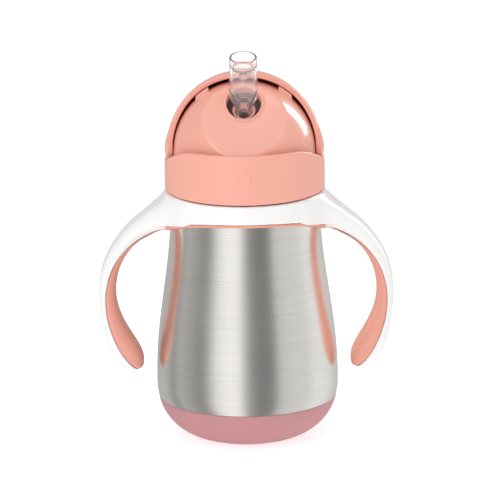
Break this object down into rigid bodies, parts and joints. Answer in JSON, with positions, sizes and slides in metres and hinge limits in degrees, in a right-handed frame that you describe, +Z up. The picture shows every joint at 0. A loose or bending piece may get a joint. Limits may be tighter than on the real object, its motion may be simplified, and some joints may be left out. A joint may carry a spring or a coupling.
{
  "type": "toddler straw sippy cup",
  "caption": "Insulated steel toddler straw cup with a swinging dome cover, a soft folding spout, a screw lid and two open handles.",
  "frame": {"origin": "centre of the foot, on the surface that the cup stands on", "axes": "+Z up along the cup, -Y towards the drinker, +X to the drinker's left hand grip seen from the front as the right one"},
  "size_m": [0.1298, 0.08, 0.1753],
  "materials": {
    "steel": "brushed",
    "steel_inside": "satin",
    "solder": "dull",
    "boot_silicone": "satin",
    "grip_silicone": "satin",
    "white_plastic": "gloss",
    "pink_plastic": "semi-gloss",
    "clear_silicone": "clear satin"
  },
  "bodies": {
    "bottle": {"outer_shell": "steel", "inner_vessel": "steel_inside", "base_plate": "steel_inside", "vacuum_seal": "solder", "getter_pellet": "solder", "base_boot": "boot_silicone"},
    "handles": {"handle_frame": "white_plastic", "ring_liner": "grip_silicone", "right_grip": "grip_silicone", "left_grip": "grip_silicone"},
    "gasket": {"lid_gasket": "clear_silicone"},
    "lid": {"lid_collar": "pink_plastic", "threaded_insert": "pink_plastic", "dome": "pink_plastic", "vent_valve": "clear_silicone", "spout_base": "clear_silicone", "dip_straw": "clear_silicone", "weight_cup": "white_plastic", "weight_core": "steel_inside", "weight_cap": "white_plastic"},
    "cover": {"slide_cover": "pink_plastic"},
    "spout": {"spout_tip": "clear_silicone"}
  },
  "joints": [
    {"name": "handles_turn", "type": "hinge", "parent": "bottle", "child": "handles", "pos_m": [0, 0, 0.103], "axis": [0, 0, 1], "continuous": true},
    {"name": "lid_rise", "type": "slide", "parent": "bottle", "child": "gasket", "axis": [0, 0, 1], "range_m": [0, 0.00625]},
    {"name": "lid_turn", "type": "hinge", "parent": "gasket", "child": "lid", "pos_m": [0, 0, 0.118], "axis": [0, 0, 1], "range_deg": [0, 450]},
    {"name": "cover_swing", "type": "hinge", "parent": "lid", "child": "cover", "pos_m": [0, 0, 0.1298], "axis": [1, 0, 0], "range_deg": [0, 80]},
    {"name": "spout_fold", "type": "hinge", "parent": "lid", "child": "spout", "pos_m": [0, -0.0105, 0.153], "axis": [1, 0, 0], "range_deg": [0, 130], "deforming": ["spout_tip"]}
  ],
  "couplings": [
    {"joint": "lid_rise", "follows": "lid_turn", "m_per_rad": 0.00079577},
    {"joint": "spout_fold", "follows": "cover_swing", "ratio": 1.6}
  ]
}
